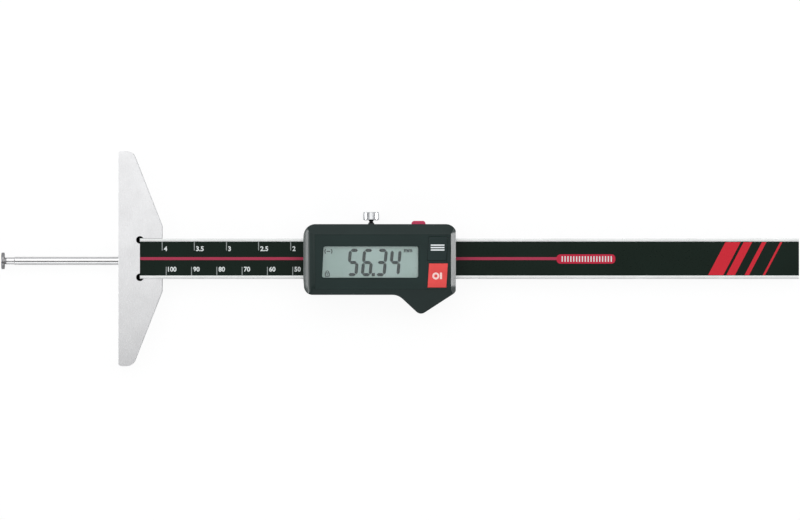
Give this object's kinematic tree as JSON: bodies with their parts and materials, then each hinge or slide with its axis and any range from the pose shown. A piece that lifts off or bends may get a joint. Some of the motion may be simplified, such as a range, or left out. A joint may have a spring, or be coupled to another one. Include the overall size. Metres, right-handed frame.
{
  "type": "depth gauge",
  "caption": "Digital depth gauge: a steel bridge on a flat scale rail, with a display slider that pushes a round measuring rod with a disc tip out through the bridge.",
  "frame": {"origin": "centre of the bridge's measuring face across its thickness, on the rail's centreline, at the height of the rod's axis", "axes": "+X runs along the rail from the measuring face to the rail's free end, +Y points to the edge with the lock screw, +Z towards the display"},
  "size_m": [0.3154, 0.085, 0.0166],
  "materials": {
    "satin_steel": "satin ground stainless steel",
    "ground_steel": "finely ground stainless steel",
    "rod_steel": "ground and polished rod",
    "tip_steel": "hardened steel disc",
    "frame_steel": "fine-machined steel",
    "cover_steel": "brushed sheet",
    "screw_steel": "plated screw",
    "black_steel": "blackened screw",
    "bronze": "phosphor bronze",
    "housing_plastic": "fine-textured dark grey-green plastic",
    "foil": "satin dark front foil",
    "lens": "clear scratch-resistant window",
    "display": "grey-green liquid crystal display",
    "display_ink": "lit display segments",
    "frame_white": "moulded display holder",
    "contact_rubber": "striped contact rubber",
    "black_rubber": "soft black rubber",
    "seal_rubber": "red silicone seal",
    "circuit_board": "green solder resist",
    "chip": "moulded chip package",
    "spring_steel": "plated spring sheet",
    "cell_steel": "nickel-plated cell can",
    "scale_black": "black scale foil with white and red print",
    "key_dark": "dark rubber-like key cap",
    "key_red": "red key cap",
    "button_red": "red button",
    "knob_chrome": "nickel-plated fluted knob"
  },
  "bodies": {
    "rail_and_bridge": {"bridge": "satin_steel", "rail": "ground_steel", "scale_strip": "circuit_board", "scale_label": "scale_black", "rail_screws": "screw_steel"},
    "slider": {"measuring_rod": "rod_steel", "disc_tip": "tip_steel", "rod_carrier": "frame_steel", "carrier_screws": "screw_steel", "slider_frame": "frame_steel", "gib_strip": "bronze", "gib_screws": "black_steel", "back_cover": "cover_steel", "cover_gasket": "black_rubber", "cover_screws": "screw_steel", "housing": "housing_plastic", "front_foil": "foil", "window_lens": "lens", "wiper_left": "black_rubber", "wiper_right": "black_rubber", "lcd_glass": "display", "lcd_digits": "display_ink", "lcd_holder": "frame_white", "contact_strip": "contact_rubber", "main_board": "circuit_board", "sensor_board": "circuit_board", "board_chips": "chip", "key_domes": "spring_steel", "data_switch": "chip", "battery_contact_plus": "spring_steel", "battery_contact_minus": "spring_steel"},
    "battery_drawer": {"battery_tray": "housing_plastic", "battery_cell": "cell_steel", "tray_seal": "seal_rubber"},
    "menu_key": {"menu_key": "key_dark"},
    "zero_key": {"zero_key": "key_red"},
    "data_button": {"data_button": "button_red"},
    "clamp_pad": {"clamp_pad": "bronze"},
    "lock_screw": {"lock_screw": "knob_chrome"}
  },
  "joints": [
    {"name": "slider_travel", "type": "slide", "parent": "rail_and_bridge", "child": "slider", "axis": [1, 0, 0], "range_m": [-0.055, 0.0449]},
    {"name": "clamp_pad_travel", "type": "slide", "parent": "slider", "child": "clamp_pad", "axis": [0, -1, 0], "range_m": [0, 0.000225]},
    {"name": "lock_screw_turn", "type": "hinge", "parent": "clamp_pad", "child": "lock_screw", "pos_m": [0.0999, 0.0152, 0.00155], "axis": [0, -1, 0], "range_deg": [0, 180]},
    {"name": "menu_key_press", "type": "slide", "parent": "slider", "child": "menu_key", "axis": [0, 0, -1], "range_m": [0, 0.00035], "stiffness_N_per_m": 2000},
    {"name": "zero_key_press", "type": "slide", "parent": "slider", "child": "zero_key", "axis": [0, 0, -1], "range_m": [0, 0.00035], "stiffness_N_per_m": 2000},
    {"name": "data_button_press", "type": "slide", "parent": "slider", "child": "data_button", "axis": [0, -1, 0], "range_m": [0, 0.0005], "stiffness_N_per_m": 1500},
    {"name": "battery_drawer_pull", "type": "slide", "parent": "slider", "child": "battery_drawer", "axis": [0, -1, 0], "range_m": [0, 0.022]}
  ],
  "couplings": [
    {"joint": "lock_screw_turn", "follows": "clamp_pad_travel", "rad_per_m": 13963}
  ]
}
